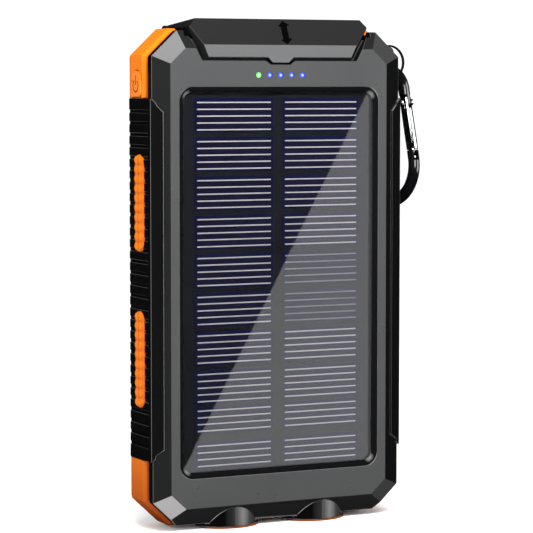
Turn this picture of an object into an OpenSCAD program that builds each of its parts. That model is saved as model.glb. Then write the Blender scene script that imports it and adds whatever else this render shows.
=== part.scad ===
// Solar phone charger: a bevelled octagonal case that stands on its base, with a
// solar window in front, a hinged port cover on top, a rubber bumper and a carabiner.
// Frame: origin at the centre of the base, +Z up, the solar window faces -Y.

/* [Case] */
// Width of the front shell
case_w = 77; // [76.5:0.1:77.5]
// Height of the front shell
case_h = 137; // [136.5:0.1:137.5]
// Thickness of the case
case_t = 19; // [18.8:0.1:19.4]
// Width of the chamfer on each corner
corner_x = 7.5; // [7.2:0.1:7.8]
// Height of the chamfer on each corner
corner_z = 7; // [6.8:0.1:7.3]
// Width of the bevel around the front face
bevel_w = 4.9; // [4.6:0.1:5.2]
// Depth of the bevel around the front face
bevel_d = 1.8; // [1.6:0.1:2.0]
// Depth of the bevel along the front face's lower edge
base_bevel_d = 3; // [2.8:0.1:3.2]
// Height of the front shell's lower edge above the base
foot_lift = 1.6; // [1.5:0.1:1.8]

/* [Solar window] */
// Width of the window opening
window_w = 62; // [61.6:0.1:62.4]
// Height of the window opening
window_h = 108.4; // [108:0.1:108.8]
// Depth of the cover sheet below the front face
window_recess = 1; // [0.9:0.1:1.1]
// Width of each solar cell
cell_w = 24.2; // [23.8:0.1:24.4]

/* [Bumper and grips] */
// How far the bumper stands out from the shells
bumper_proud = 0.6; // [0.5:0.1:0.7]
// Distance from groove to groove on the side grips
groove_pitch = 3.19; // [3.1:0.01:3.2]
// Depth of the grooves in the side grips
groove_depth = 0.4; // [0.3:0.1:0.5]

/* [Port cover] */
// Height of the cover's top edge above the base
cover_top = 142; // [141.8:0.1:142.2]
// Height of the cover's lower lip above the base
cover_lip = 131.3; // [131.2:0.1:131.5]
// Radius of the steel hinge pin
hinge_pin_r = 0.75; // [0.7:0.05:0.8]

/* [Carabiner] */
// Radius of the carabiner's bar
bar_r = 1.65; // [1.6:0.05:1.7]
// Radius of the carabiner's upper bend, to the middle of the bar
upper_bend_r = 6.6; // [6.5:0.1:6.8]
// Radius of the carabiner's lower bend, to the middle of the bar
lower_bend_r = 10.9; // [10.7:0.1:11.1]
// Distance between the centres of the two bends
bend_span = 20.6; // [20.4:0.1:20.8]
// Radius of the split ring, to the middle of its wire
ring_r = 4.6; // [4.5:0.1:4.7]
// Radius of the split ring's wire
ring_wire_r = 0.55; // [0.5:0.05:0.55]

/* [Hidden] */
$fn = 64;
front_y = -case_t / 2;
rear_y = case_t / 2;
mid_z = foot_lift + case_h / 2;
case_top = foot_lift + case_h;
bevel_y = front_y + bevel_d;
seam_y = -3;
wall_rear_y = -5.3;
wall_step = 0.8;
bumper_rear_y = 6.6;
rear_bevel_w = 3;
rear_bevel_d = 2;
shell_wall = 2.2;
plate_y = front_y + 2;
tray_gap = 1.5;
tray_wall = 1.8;
slack = 0.15;

// The eight edges of the outline: direction of each outward normal, and its distance
corner_len = norm([corner_x, corner_z]);
corner_n = [corner_z / corner_len, corner_x / corner_len];
corner_a = atan2(corner_n[1], corner_n[0]);
corner_d = corner_n[0] * case_w / 2 + corner_n[1] * (case_h / 2 - corner_z);
edge_angles = [0, 90, 180, 270, corner_a, 180 - corner_a, 180 + corner_a, -corner_a];
edge_dists = [case_w / 2, case_h / 2, case_w / 2, case_h / 2, corner_d, corner_d, corner_d, corner_d];

function outline(inset) =
    let (a = case_w / 2 - inset, b = case_h / 2 - inset, d = corner_d - inset)
    let (za = (d - corner_n[0] * a) / corner_n[1], xb = (d - corner_n[1] * b) / corner_n[0])
    [[a, za], [xb, b], [-xb, b], [-a, za], [-a, -za], [-xb, -b], [xb, -b], [a, -za]];

// Solar window
window_z = foot_lift + 67.4;
window_r = 4;
lip_w = 1.6;
skirt_w = 0.7;
glass_t = 0.8;
cell_t = 0.25;
backing_t = 1.05;
glass_y = front_y + window_recess;
cell_y = glass_y + glass_t;
backing_y = cell_y + cell_t;
backing_rear_y = backing_y + backing_t;
cell_x = 13.55;
cell_rows = 10;
tall_rows = 8;
cell_pitch = 10.76;
tall_cell_h = 9.45;
short_cell_h = 7.7;
cells_top = 120.1;
short_top = cells_top - tall_rows * cell_pitch + 0.6;
short_pitch = 9.85;
strip_t = 0.1;
strip_h = 0.35;
strip_pitch = 1.88;
strip_inset = 0.8;

function row_top(row) = row < tall_rows
    ? cells_top - row * cell_pitch
    : short_top - (row - tall_rows) * short_pitch;
function row_h(row) = row < tall_rows ? tall_cell_h : short_cell_h;
function strip_count(row) = row < tall_rows ? 5 : 4;

// Status lights
light_z = 126.4;
light_pitch = 3.4;
light_r = 0.75;

// Port cover and its deck
cover_half_w = 28.2;
cover_lip_half_w = 23.5;
cover_front_y = front_y - 0.4;
cover_crease_z = 134.7;
end_bevel_w = 1.3;
end_bevel_d = 1.7;
cover_lean = 1.9;
cover_wall = 1.9;
cover_gap = 0.4;
tab_half_w = 4.1;
tab_tip_half_w = 2.7;
tab_h = 1.4;
hinge_y = 7;
hinge_z = 137.8;
barrel_r = 2.4;
trough_r = 2.75;
lug_w = 4;
lug_x = 17;
deck_half_w = 29;
deck_z = 136.4;
deck_t = 2;
ledge_y = front_y + 2.3;
ledge_t = 1.8;

// Ports
port_y = 0.2;
port_x = 15;
port_w = 13.1;
port_d = 5.7;
port_len = 12;
port_wall = 0.3;
micro_w = 7.6;
micro_d = 2.8;
micro_len = 6;

// Main board
board_y = 3.05;
board_t = 1.2;
board_half_w = 27;
board_low = 107.5;
board_high = 132;
arm_x = -33;
arm_low = 119;
arm_high = 126;

// Power button
button_y = 1.1;
button_z = 124;
button_w = 6;
button_h = 7.2;
button_proud = 0.35;
button_gap = 0.2;
button_inner_x = -35.6;
plunger_r = 0.9;
plunger_in = 2.2;
switch_x = -33.9;

// Battery
cell_pack_w = 62;
cell_pack_low = 12;
cell_pack_high = 103;
pack_t = 5.3;
front_pack_y = -5.5;
pad_t = 0.6;

// Torch on the back
torch_x = 8;
torch_z = 117.5;
torch_r = 4.6;

// Screws
screw_x = 31;
screw_z_low = 9.4;
screw_z_high = 128.9;
screw_r = 1;
screw_head_r = 2.1;
boss_r = 2.4;

// Grips
grip_x = 35.8;
grip_top = 120.1;
grip_low = 19.8;
grip_side_inner = case_w / 2 - 0.7;
grip_side_outer = case_w / 2 + bumper_proud;
groove_h = 0.9;
groove_top_z = 116.46;
groove_count = 30;
groove_front_y = -6.3;
pad_w = 6.3;
pad_y = -0.4;
pad_end_r = pad_w / 2 - 0.05;
pad_len = 27;
pad_z_high = 91.2;
pad_z_low = 47.9;
pad_seat_x = case_w / 2 + 0.1;
pad_face_x = case_w / 2 + 1.1;
bump_rows = 10;
bump_r = 1.05;
bump_h = 0.35;
bump_pitch = 2.66;
bump_cols = 1.2;

// Feet and bulges
foot_x = 13.7;
foot_y = 1.46;
foot_r = 11.1;
foot_t = 0.4;
foot_half_w = 8.5;
bulge_r = 10.7;
bulge_top = 8;
base_rib_y = [3, 6.2];
base_tongue_y = -0.8;
base_tongue_half_w = 1.6;

// Lanyard lug, split ring and carabiner
lanyard_x = 40.9;
lanyard_y = 5;
lanyard_z = 132.9;
lanyard_pin_r = 0.9;
lug_t = 4.8;
lug_end_r = 1.9;
lug_root_x = 33.2;
ring_slot = 1.7;
ring_x = 42.4;
ring_z = lanyard_z - sqrt(pow(ring_r - ring_wire_r - lanyard_pin_r - 0.02, 2) - pow(ring_x - lanyard_x, 2));
hang_gap = 0.05;
hang_z = ring_z - ring_r + ring_wire_r + bar_r + hang_gap;
yaw = 14;
slant = asin((lower_bend_r - upper_bend_r) / bend_span);
upper_c = -upper_bend_r;
lower_c = upper_c - bend_span;
straight_len = sqrt(pow(bend_span, 2) - pow(lower_bend_r - upper_bend_r, 2));
hinge_drop = 4;
sleeve = 0.03;
sleeve_len = 0.3;
tongue_t = 1.3;
rivet_r = 0.55;
rivet_len = 5;
nose_rise = 2;
gate_len = straight_len - hinge_drop - nose_rise - 0.35;
fork_len = 3;
latch_r = 0.5;
latch_ball_r = 0.8;
latch_slot = 1.25;
latch_pocket = 2;

// ---- Helpers ----

// Extrudes a flat X-Z shape from y0 to y1
module slab(y0, y1) {
    translate([0, y1, 0])
        rotate([90, 0, 0])
            linear_extrude(y1 - y0) children();
}

// Extrudes a flat Y-Z shape from x0 to x1
module bar_along_x(x0, x1) {
    translate([x0, 0, 0])
        rotate([90, 0, 90])
            linear_extrude(x1 - x0) children();
}

// A cylinder along Y, from y0 to y1
module round_y(x, z, r, y0, y1) {
    translate([x, y1, z])
        rotate([90, 0, 0])
            cylinder(r = r, h = y1 - y0);
}

module block(x, y, z) {
    translate([x[0], y[0], z[0]])
        cube([x[1] - x[0], y[1] - y[0], z[1] - z[0]]);
}

module rounded(w, h, r) {
    square([w - 2 * r, h], center = true);
    square([w, h - 2 * r], center = true);
    for (sx = [-1, 1], sz = [-1, 1])
        translate([sx * (w / 2 - r), sz * (h / 2 - r)]) circle(r);
}

module case_slab(y0, y1, inset) {
    translate([0, 0, mid_z])
        slab(y0, y1) polygon(outline(inset));
}

// Cuts a bevel along the chosen edges; the bevel runs from y_edge at the outline
// to y_edge + depth at w inside it, and way is -1 at the front and 1 at the back
module edge_bevel(grow, w, depth, y_edge, way, edges = [0:7]) {
    slope = depth / w;
    reach_in = w + 3;
    reach_out = 3;
    for (i = edges)
        translate([0, 0, mid_z])
            rotate([0, -edge_angles[i], 0])
                translate([edge_dists[i] + grow, y_edge, -case_h])
                    linear_extrude(2 * case_h)
                        polygon([[-reach_in, way * slope * reach_in],
                            [reach_out, -way * slope * reach_out],
                            [reach_out, way * slope * reach_in]]);
}

module mirrored_x() {
    children();
    mirror([1, 0, 0]) children();
}

// ---- Shells ----

module notch_shape(floor_z) {
    polygon([[-24, floor_z], [-tab_half_w - 0.35, floor_z], [-tab_tip_half_w - 0.4, floor_z - 1],
        [tab_tip_half_w + 0.4, floor_z - 1], [tab_half_w + 0.35, floor_z], [24, floor_z],
        [deck_half_w, case_top + 1], [-deck_half_w, case_top + 1]]);
}

module grip_edge_shape(grow) {
    polygon([[grip_x - grow, grip_top - 3.9 + grow],
        [grip_x + 1.7 - grow, grip_top - 2.1 + grow],
        [grip_x + 2 - grow, grip_top - 1.3 + grow],
        [grip_x + 4.4, grip_top + 1 + grow],
        [grip_x + 9, grip_top + 1 + grow],
        [grip_x + 9, grip_low - 1 - grow],
        [grip_x + 4.4, grip_low - 1 - grow],
        [grip_x + 2.3 - grow, grip_low + 1.2 - grow],
        [grip_x + 2.1 - grow, grip_low + 2.2 - grow],
        [grip_x - grow, grip_low + 3.7 - grow]]);
}

// Outside profile of the front shell's side, moved out by grow, in the X-Y plane
module side_profile(grow, y_end) {
    slope = bevel_d / bevel_w;
    rise = grow * 0.9;
    polygon([[0, bevel_y - slope * case_w / 2 - rise], [case_w / 2 + grow, bevel_y + slope * grow - rise],
        [case_w / 2 + grow, y_end], [0, y_end]]);
}

module front_bezel() {
    ledge = [ledge_y, ledge_y + ledge_t];
    color("#5c5e60")
    difference() {
        union() {
            difference() {
                union() {
                    case_slab(front_y, wall_rear_y, 0);
                    case_slab(wall_rear_y, seam_y, wall_step);
                }
                edge_bevel(0, bevel_w, bevel_d, bevel_y, -1, [0, 1, 2, 4, 5, 6, 7]);
                edge_bevel(0, bevel_w, base_bevel_d, front_y + base_bevel_d, -1, [3]);
                difference() {
                    case_slab(plate_y, seam_y + 1, shell_wall);
                    block([-deck_half_w - 1, deck_half_w + 1], [plate_y - 1, ledge[1]], [127.6, case_top]);
                    for (sx = [-1, 1], z = [screw_z_low, screw_z_high])
                        round_y(sx * screw_x, z, boss_r, plate_y - 1, seam_y);
                    for (sx = [-1, 1])
                        translate([sx * foot_x, foot_y, 0]) cylinder(r = bulge_r, h = bulge_top);
                }
            }
            for (sx = [-1, 1])
                intersection() {
                    translate([sx * foot_x, foot_y, foot_t]) cylinder(r = bulge_r, h = bulge_top - foot_t);
                    block([-case_w, case_w], [front_y, seam_y], [foot_t, bulge_top]);
                }
        }
        translate([0, 0, window_z]) slab(front_y - 1, plate_y + 1) rounded(window_w, window_h, window_r);
        slab(front_y - 1, ledge_y) notch_shape(130.4);
        block([-deck_half_w, deck_half_w], [ledge_y - 1, seam_y + 1], [deck_z, case_top + 1]);
        for (i = [-2:2])
            round_y(i * light_pitch, light_z, light_r + 0.05, front_y - 1, seam_y);
        for (sx = [-1, 1], z = [screw_z_low, screw_z_high])
            round_y(sx * screw_x, z, screw_r, plate_y, seam_y + 1);
        mirrored_x()
            difference() {
                slab(front_y - 1, seam_y + 1) grip_edge_shape(slack);
                linear_extrude(case_top) side_profile(-0.5, seam_y + 2);
            }
    }
}

module hinge_bar(r, x0, x1) {
    translate([x0, hinge_y, hinge_z])
        rotate([0, 90, 0])
            cylinder(r = r, h = x1 - x0);
}

module lanyard_lug() {
    half = lug_t / 2;
    slab(lanyard_y - half, lanyard_y + half)
        union() {
            translate([lanyard_x, lanyard_z]) circle(lug_end_r);
            polygon([[lug_root_x, lanyard_z - 4],
                [lanyard_x - 3, lanyard_z - 3.2],
                [lanyard_x, lanyard_z - lug_end_r],
                [lanyard_x, lanyard_z + lug_end_r],
                [lanyard_x - 6, lanyard_z + 2.8],
                [lug_root_x, lanyard_z + 2.8]]);
        }
}

module ring_pocket(extra) {
    round_y(ring_x, ring_z, ring_r + ring_wire_r + slack + extra,
        lanyard_y - ring_slot / 2, lanyard_y + ring_slot / 2);
}

module button_shape(grow) {
    translate([button_y, button_z - button_h / 2 + button_w / 2]) {
        square_h = button_h - button_w;
        r = button_w / 2 + grow;
        rim = 1.2;
        translate([-r, -r + rim]) square([2 * r, square_h + 2 * r - rim - r]);
        translate([-r + rim, -r]) square([2 * r - 2 * rim, rim]);
        translate([-r + rim, -r + rim]) circle(rim);
        translate([r - rim, -r + rim]) circle(rim);
        translate([0, square_h]) circle(r);
    }
}

module rear_shell() {
    color("#1f2022")
    difference() {
        union() {
            difference() {
                union() {
                    case_slab(seam_y, bumper_rear_y, tray_gap);
                    case_slab(bumper_rear_y, rear_y, 0);
                }
                edge_bevel(0, rear_bevel_w, rear_bevel_d, rear_y - rear_bevel_d, 1);
                case_slab(seam_y - 1, rear_y - tray_wall, tray_gap + tray_wall);
            }
            intersection() {
                block([-deck_half_w, deck_half_w], [ledge_y + ledge_t, rear_y], [deck_z - deck_t, deck_z]);
                case_slab(front_y, rear_y, 0);
            }
            block([-deck_half_w, deck_half_w], [4.6, rear_y - 0.4], [133.1, deck_z]);
            for (sx = [-1, 1], z = [screw_z_low, screw_z_high])
                round_y(sx * screw_x, z, boss_r, seam_y, rear_y - 1);
            for (sx = [-1, 1])
                round_y(sx * torch_x, torch_z, torch_r + 1, 6, rear_y - 1);
            lanyard_lug();
        }
        difference() {
            block([-deck_half_w, deck_half_w], [seam_y - 3, rear_y + 1], [deck_z, case_top + 2]);
            hinge_lugs();
        }
        difference() {
            hinge_bar(trough_r, -deck_half_w, deck_half_w);
            hinge_lugs();
        }
        hinge_bar(hinge_pin_r, -23, 23);
        for (sx = [-1, 1])
            block([sx * port_x - port_w / 2 - 0.1, sx * port_x + port_w / 2 + 0.1],
                [port_y - port_d / 2 - 0.1, port_y + port_d / 2 + 0.1], [deck_z - deck_t - 1, deck_z + 1]);
        block([-micro_w / 2 - 0.1, micro_w / 2 + 0.1],
            [port_y + port_d / 2 - micro_d - 0.1, port_y + port_d / 2 + 0.1],
            [deck_z - deck_t - 1, deck_z + 1]);
        for (sx = [-1, 1], z = [screw_z_low, screw_z_high]) {
            round_y(sx * screw_x, z, screw_r + 0.15, seam_y - 1, rear_y + 1);
            round_y(sx * screw_x, z, screw_head_r + 0.2, rear_y - 2, rear_y + 1);
        }
        for (sx = [-1, 1])
            round_y(sx * torch_x, torch_z, torch_r, 5, rear_y + 1);
        bar_along_x(-case_w / 2, -case_w / 2 + 5) button_shape(button_gap);
        round_y(lanyard_x, lanyard_z, lanyard_pin_r, 0, rear_y);
        ring_pocket(0);
        block([ring_x - ring_r - 1.2, ring_x + 5], [lanyard_y - ring_slot / 2, lanyard_y + ring_slot / 2],
            [lanyard_z - 4.2, lanyard_z + 3]);
    }
}

module hinge_lugs() {
    for (sx = [-1, 1])
        bar_along_x(sx * lug_x - lug_w / 2, sx * lug_x + lug_w / 2)
            union() {
                translate([hinge_y, hinge_z]) circle(1.9);
                translate([hinge_y - 1.9, 134]) square([3.8, hinge_z - 134]);
            }
}

// ---- Bumper, grips and feet ----

module bumper_frame() {
    color("#ee7a14")
    difference() {
        union() {
            difference() {
                case_slab(seam_y, bumper_rear_y, -bumper_proud);
                edge_bevel(bumper_proud, 0.9, 0.9, seam_y + 0.9, -1);
                edge_bevel(bumper_proud, 0.9, 0.9, bumper_rear_y - 0.9, 1);
                mirrored_x()
                    block([grip_side_inner - slack, case_w], [-case_t, case_t], [grip_low, grip_top]);
            }
            for (sx = [-1, 1])
                intersection() {
                    translate([sx * foot_x, foot_y, 0]) cylinder(r = foot_r, h = foot_t);
                    block([sx * foot_x - foot_half_w, sx * foot_x + foot_half_w],
                        [-case_t, bumper_rear_y], [0, foot_t]);
                }
            block([-foot_x, foot_x], base_rib_y, [0, foot_lift]);
            block([-base_tongue_half_w, base_tongue_half_w], [base_tongue_y, base_rib_y[1]], [0, foot_lift]);
        }
        case_slab(seam_y - 1, bumper_rear_y + 1, tray_gap);
        block([-deck_half_w, deck_half_w], [seam_y - 1, case_t], [130, case_top + 5]);
        bar_along_x(-case_w, -case_w / 2 + 3) button_shape(button_gap);
        difference() {
            block([30, case_w], [lanyard_y - lug_t / 2 - 0.2, bumper_rear_y + 1],
                [lanyard_z - 4.6, lanyard_z + 3.4]);
            block([30, lug_root_x], [seam_y, case_t], [120, 140]);
        }
        ring_pocket(0.4);
        block([case_w / 2 - 1, case_w], [lanyard_y - ring_slot / 2, lanyard_y + ring_slot / 2], [124, 130]);
    }
}

module grip_grooves() {
    for (i = [0:groove_count - 1])
        translate([0, 0, groove_top_z - i * groove_pitch])
            block([grip_side_outer - groove_depth, case_w], [groove_front_y, case_t],
                [-groove_h / 2, groove_h / 2]);
}

module side_grip() {
    wrap_h = grip_top + 3;
    color("#161719")
    difference() {
        union() {
            intersection() {
                slab(front_y - 1, seam_y) grip_edge_shape(0);
                difference() {
                    linear_extrude(wrap_h) side_profile(bumper_proud, seam_y);
                    linear_extrude(wrap_h) side_profile(-0.35, seam_y + 1);
                }
            }
            block([grip_side_inner, grip_side_outer], [seam_y, bumper_rear_y],
                [grip_low + slack, grip_top - slack]);
        }
        grip_grooves();
        for (z = [pad_z_high, pad_z_low])
            translate([0, pad_y, z])
                bar_along_x(pad_seat_x, case_w) rounded(pad_w + 0.1, pad_len + 0.1, pad_end_r);
    }
}

module side_grip_left() {
    mirror([1, 0, 0]) side_grip();
}

module side_grip_right() {
    side_grip();
}

module grip_pad(z) {
    last = bump_rows - 1;
    color("#f0801c")
    translate([0, pad_y, z]) {
        bar_along_x(pad_seat_x, pad_face_x) rounded(pad_w, pad_len, pad_end_r);
        for (i = [0:last], c = [-1, 1])
            translate([pad_face_x - 0.2, c * bump_cols, (i - last / 2) * bump_pitch])
                rotate([0, 90, 0])
                    cylinder(r = i == 0 || i == last ? bump_r * 0.8 : bump_r, h = bump_h + 0.2);
    }
}

module grip_pad_left_upper() {
    mirror([1, 0, 0]) grip_pad(pad_z_high);
}

module grip_pad_left_lower() {
    mirror([1, 0, 0]) grip_pad(pad_z_low);
}

module grip_pad_right_upper() {
    grip_pad(pad_z_high);
}

module grip_pad_right_lower() {
    grip_pad(pad_z_low);
}

// ---- Solar window ----

module window_slab(y0, y1, inset) {
    translate([0, 0, window_z])
        slab(y0, y1) rounded(window_w - 2 * inset, window_h - 2 * inset, window_r - inset);
}

module window_gasket() {
    color("#0b0b0c")
    difference() {
        window_slab(front_y + 0.15, backing_rear_y, 0.05);
        window_slab(front_y, glass_y, lip_w);
        window_slab(glass_y, backing_rear_y + 1, skirt_w);
    }
}

module solar_cover_sheet() {
    color([0.25, 0.27, 0.33, 0.35])
        window_slab(glass_y, cell_y, skirt_w + 0.05);
}

module solar_cells() {
    color("#0d1145")
    for (sx = [-1, 1], row = [0:cell_rows - 1])
        block([sx * cell_x - cell_w / 2, sx * cell_x + cell_w / 2], [cell_y + strip_t, backing_y],
            [row_top(row) - row_h(row), row_top(row)]);
}

module cell_contact_strips() {
    half = cell_w / 2 - strip_inset;
    color("#c9c6c9")
    for (sx = [-1, 1], row = [0:cell_rows - 1], i = [0:strip_count(row) - 1]) {
        z = row_top(row) - 1.05 - i * strip_pitch;
        block([sx * cell_x - half, sx * cell_x + half], [cell_y, cell_y + strip_t], [z - strip_h, z]);
    }
}

module solar_backing_board() {
    color("#2c2d32")
        window_slab(backing_y, backing_rear_y, skirt_w + 0.05);
}

// ---- Lights, switch and board ----

module light_pipe(i) {
    round_y(i * light_pitch, light_z, light_r, front_y + 0.05, board_y - 0.8);
}

module light_pipe_green() {
    color("#79e378") light_pipe(-2);
}

module light_pipes_blue() {
    color("#3d5cf0")
    for (i = [-1:2])
        light_pipe(i);
}

module status_led_chips() {
    color("#e8e4c0")
    for (i = [-2:2])
        block([i * light_pitch - 0.8, i * light_pitch + 0.8], [board_y - 0.75, board_y],
            [light_z - 0.5, light_z + 0.5]);
}

module power_button() {
    color("#f0801c")
        bar_along_x(-case_w / 2 - bumper_proud - button_proud, button_inner_x) button_shape(0);
}

module switch_plunger() {
    color("#d8d8d8")
        translate([button_inner_x, button_y, button_z])
            rotate([0, 90, 0])
                cylinder(r = plunger_r, h = plunger_in);
}

module switch_body() {
    color("#3a3a3c")
    difference() {
        block([switch_x, switch_x + 4], [button_y - 1.9, board_y], [button_z - 2, button_z + 1.9]);
        translate([switch_x - 1, button_y, button_z])
            rotate([0, 90, 0])
                cylinder(r = plunger_r + 0.05, h = 3);
    }
}

module main_board() {
    color("#1d6b3c")
    union() {
        block([-board_half_w, board_half_w], [board_y, board_y + board_t], [board_low, board_high]);
        block([arm_x, -board_half_w + 1], [board_y, board_y + board_t], [arm_low, arm_high]);
    }
}

module usb_port(x) {
    color("#b9bcc0")
    difference() {
        block([x - port_w / 2, x + port_w / 2], [port_y - port_d / 2, port_y + port_d / 2],
            [deck_z - port_len, deck_z - 0.3]);
        block([x - port_w / 2 + port_wall, x + port_w / 2 - port_wall],
            [port_y - port_d / 2 + port_wall, port_y + port_d / 2 - port_wall],
            [deck_z - port_len + 1, deck_z]);
    }
}

module usb_tongue(x) {
    tongue = port_w / 2 - 1;
    color("#f2f2ee")
        block([x - tongue, x + tongue], [port_y + 0.4, port_y + 2.3], [deck_z - port_len + 1, deck_z - 1.4]);
}

module usb_port_left() {
    usb_port(-port_x);
}

module usb_port_right() {
    usb_port(port_x);
}

module usb_tongue_left() {
    usb_tongue(-port_x);
}

module usb_tongue_right() {
    usb_tongue(port_x);
}

module charging_port() {
    y1 = port_y + port_d / 2;
    color("#b9bcc0")
    difference() {
        block([-micro_w / 2, micro_w / 2], [y1 - micro_d, y1], [deck_z - micro_len, deck_z - 0.3]);
        block([-micro_w / 2 + port_wall, micro_w / 2 - port_wall], [y1 - micro_d + port_wall, y1 - port_wall],
            [deck_z - micro_len + 1, deck_z]);
    }
}

module charging_tongue() {
    y1 = port_y + port_d / 2;
    color("#232323")
        block([-2.5, 2.5], [y1 - 1.1, y1 - 0.5], [deck_z - micro_len + 1, deck_z - 1]);
}

module power_chip() {
    color("#202022")
        block([-4, 4], [board_y - 1.4, board_y], [111, 119]);
}

module inductor() {
    color("#55565a")
        round_y(17, 115, 4, board_y - 4, board_y);
}

module capacitors() {
    color("#8b8f94")
    for (x = [-20, -12])
        round_y(x, 114, 3, board_y - 5, board_y);
}

// ---- Battery and leads ----

module pouch(y0) {
    h = cell_pack_high - cell_pack_low;
    translate([0, 0, cell_pack_low + h / 2])
        slab(y0, y0 + pack_t) rounded(cell_pack_w, h, 3);
}

module battery_front() {
    color("#b4b8bd") pouch(front_pack_y);
}

module battery_rear() {
    color("#b4b8bd") pouch(front_pack_y + pack_t + pad_t);
}

module battery_pad() {
    color("#3b3b3d")
        block([-25, 25], [front_pack_y + pack_t, front_pack_y + pack_t + pad_t], [20, 95]);
}

module battery_tape() {
    rear = front_pack_y + 2 * pack_t + pad_t;
    color("#d9b84a")
        block([-22, 22], [rear, rear_y - tray_wall], [30, 85]);
}

// A lead that rises from a pouch, crosses to the board's lower edge and ends on its face
module battery_lead(x, y0) {
    lead_r = 0.6;
    bend_z = board_low - 2;
    face_y = board_y - lead_r;
    translate([x, y0, cell_pack_high]) cylinder(r = lead_r, h = bend_z - cell_pack_high);
    translate([x, y0, bend_z]) sphere(lead_r);
    round_y(x, bend_z, lead_r, min(y0, face_y), max(y0, face_y));
    translate([x, face_y, bend_z]) sphere(lead_r);
    translate([x, face_y, bend_z]) cylinder(r = lead_r, h = 5);
}

module battery_lead_red() {
    color("#c4221c") battery_lead(-8, -2);
}

module battery_lead_black() {
    color("#1a1a1a") battery_lead(8, -2);
}

module panel_lead_red() {
    color("#c4221c") round_y(-24, 120, 0.6, backing_rear_y, board_y);
}

module panel_lead_black() {
    color("#1a1a1a") round_y(24, 120, 0.6, backing_rear_y, board_y);
}

// ---- Torch and screws ----

module torch_lenses() {
    color([0.9, 0.93, 0.96, 0.5])
    for (sx = [-1, 1])
        round_y(sx * torch_x, torch_z, torch_r - 0.05, rear_y - 1.4, rear_y - 0.2);
}

module torch_reflectors() {
    y1 = rear_y - 1.45;
    y0 = y1 - 2.9;
    color("#c8ccd0")
    for (sx = [-1, 1])
        translate([sx * torch_x, y1, torch_z])
            rotate([90, 0, 0])
                difference() {
                    cylinder(r = torch_r - 0.1, h = y1 - y0);
                    translate([0, 0, -0.01]) cylinder(r1 = torch_r - 0.6, r2 = 1.9, h = y1 - y0 + 0.02);
                }
}

module torch_leds() {
    color("#f2eda0")
    for (sx = [-1, 1])
        block([sx * torch_x - 1.3, sx * torch_x + 1.3], [board_y + board_t, board_y + board_t + 0.8],
            [torch_z - 1.3, torch_z + 1.3]);
}

module case_screws() {
    color("#8d9095")
    for (sx = [-1, 1], z = [screw_z_low, screw_z_high])
        difference() {
            union() {
                round_y(sx * screw_x, z, screw_r, plate_y + 0.6, rear_y - 2);
                round_y(sx * screw_x, z, screw_head_r, rear_y - 2, rear_y - 0.5);
            }
            for (a = [0, 90])
                translate([sx * screw_x, rear_y - 0.4, z])
                    rotate([0, a, 0])
                        cube([2.6, 1.4, 0.6], center = true);
        }
}

// ---- Port cover ----

module cover_profile(inset) {
    lean = cover_lean / (cover_top - cover_crease_z);
    top = cover_top - inset;
    polygon([[cover_front_y + 0.25 + inset, cover_lip - (inset > 0 ? 10 : 0)],
        [cover_front_y + inset, cover_crease_z], [cover_front_y + cover_lean + inset - lean * inset, top],
            [hinge_y - (inset > 0 ? 3.6 : 0), hinge_z + barrel_r - inset + (inset > 0 ? 0.35 : 0)],
            [hinge_y - (inset > 0 ? 3.6 : 0), cover_lip - (inset > 0 ? 10 : 0)]]);
}

module cover_front_shape() {
    polygon([[-cover_lip_half_w, cover_lip], [-tab_half_w, cover_lip], [-tab_tip_half_w, cover_lip - tab_h],
        [tab_tip_half_w, cover_lip - tab_h], [tab_half_w, cover_lip], [cover_lip_half_w, cover_lip],
        [cover_half_w - 0.3, cover_top - 2.4], [cover_half_w - 2.4, cover_top],
        [-cover_half_w + 2.4, cover_top], [-cover_half_w + 0.3, cover_top - 2.4]]);
}

module cover_plan() {
    polygon([[-cover_half_w + 1.9, cover_front_y - 1], [cover_half_w - 1.9, cover_front_y - 1],
        [cover_half_w, ledge_y - 0.3], [cover_half_w, case_t],
        [-cover_half_w, case_t], [-cover_half_w, ledge_y - 0.3]]);
}

// Cuts the sloped facet down one end of the cover's front
module cover_end_cut() {
    tilt = atan2(cover_half_w - 0.3 - cover_lip_half_w, cover_top - 2.4 - cover_lip);
    translate([-cover_lip_half_w, cover_front_y, cover_lip])
        rotate([0, -tilt, 0])
            translate([0, 0, -case_w / 2])
                linear_extrude(case_w)
                    polygon([[end_bevel_w, -1], [end_bevel_w, 0], [0, end_bevel_d],
                        [-2, end_bevel_d], [-2, -1]]);
}

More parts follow.
